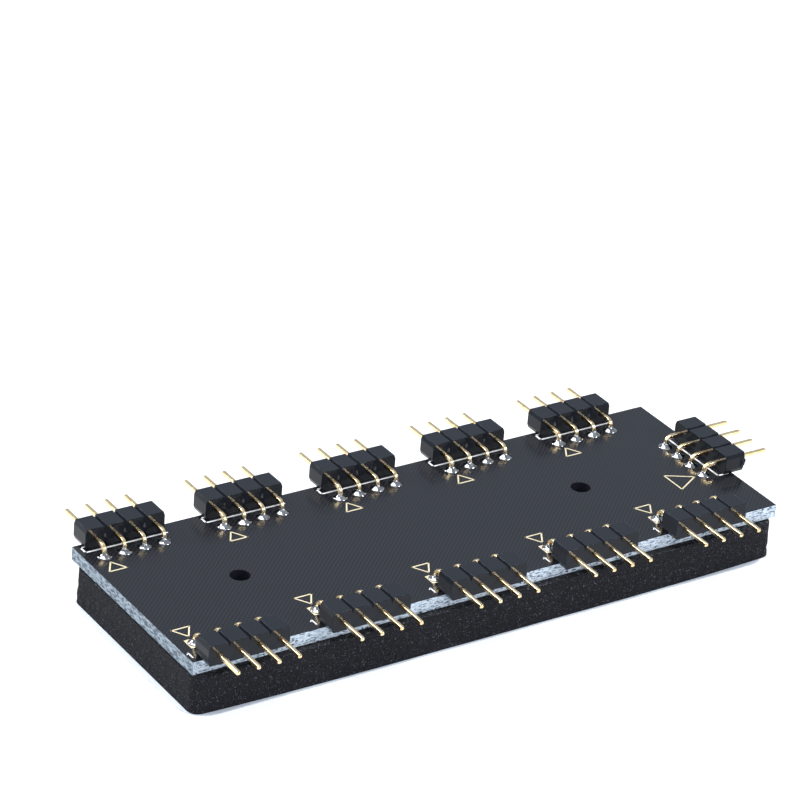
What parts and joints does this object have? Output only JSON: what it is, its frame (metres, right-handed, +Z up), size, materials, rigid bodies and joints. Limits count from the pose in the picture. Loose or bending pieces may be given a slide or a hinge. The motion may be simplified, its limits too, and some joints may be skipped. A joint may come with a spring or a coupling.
{
  "type": "rgb lighting hub",
  "caption": "Long black circuit board with right-angle pin headers on both sides and one end, on a foam pad; shares one LED lighting signal among many leads.",
  "frame": {"origin": "on the underside of the release liner, below the centre of the board's outline", "axes": "+X along the board to the end header, +Y to the back row of headers, +Z up from the pad to the board"},
  "size_m": [0.0856, 0.0384, 0.0088],
  "materials": {
    "solder_mask": "glossy black solder mask",
    "header_plastic": "smooth moulded plastic",
    "pin_gold": "gold plated",
    "solder": "bright solder",
    "clear_film": "clear film",
    "foam": "closed-cell foam",
    "liner_paper": "coated release paper"
  },
  "bodies": {
    "root": {"board": "solder_mask", "foam_pad": "foam", "adhesive_film": "clear_film", "release_liner": "liner_paper", "solder_joints": "solder", "housing_back_1": "header_plastic", "housing_back_2": "header_plastic", "housing_back_3": "header_plastic", "housing_back_4": "header_plastic", "housing_back_5": "header_plastic", "housing_front_1": "header_plastic", "housing_front_2": "header_plastic", "housing_front_3": "header_plastic", "housing_front_4": "header_plastic", "housing_front_5": "header_plastic", "housing_end": "header_plastic", "pin_back_1_1": "pin_gold", "pin_back_1_2": "pin_gold", "pin_back_1_3": "pin_gold", "pin_back_1_4": "pin_gold", "pin_back_2_1": "pin_gold", "pin_back_2_2": "pin_gold", "pin_back_2_3": "pin_gold", "pin_back_2_4": "pin_gold", "pin_back_3_1": "pin_gold", "pin_back_3_2": "pin_gold", "pin_back_3_3": "pin_gold", "pin_back_3_4": "pin_gold", "pin_back_4_1": "pin_gold", "pin_back_4_2": "pin_gold", "pin_back_4_3": "pin_gold", "pin_back_4_4": "pin_gold", "pin_back_5_1": "pin_gold", "pin_back_5_2": "pin_gold", "pin_back_5_3": "pin_gold", "pin_back_5_4": "pin_gold", "pin_front_1_1": "pin_gold", "pin_front_1_2": "pin_gold", "pin_front_1_3": "pin_gold", "pin_front_1_4": "pin_gold", "pin_front_2_1": "pin_gold", "pin_front_2_2": "pin_gold", "pin_front_2_3": "pin_gold", "pin_front_2_4": "pin_gold", "pin_front_3_1": "pin_gold", "pin_front_3_2": "pin_gold", "pin_front_3_3": "pin_gold", "pin_front_3_4": "pin_gold", "pin_front_4_1": "pin_gold", "pin_front_4_2": "pin_gold", "pin_front_4_3": "pin_gold", "pin_front_4_4": "pin_gold", "pin_front_5_1": "pin_gold", "pin_front_5_2": "pin_gold", "pin_front_5_3": "pin_gold", "pin_front_5_4": "pin_gold", "pin_end_1": "pin_gold", "pin_end_2": "pin_gold", "pin_end_3": "pin_gold", "pin_end_4": "pin_gold"}
  },
  "joints": []
}
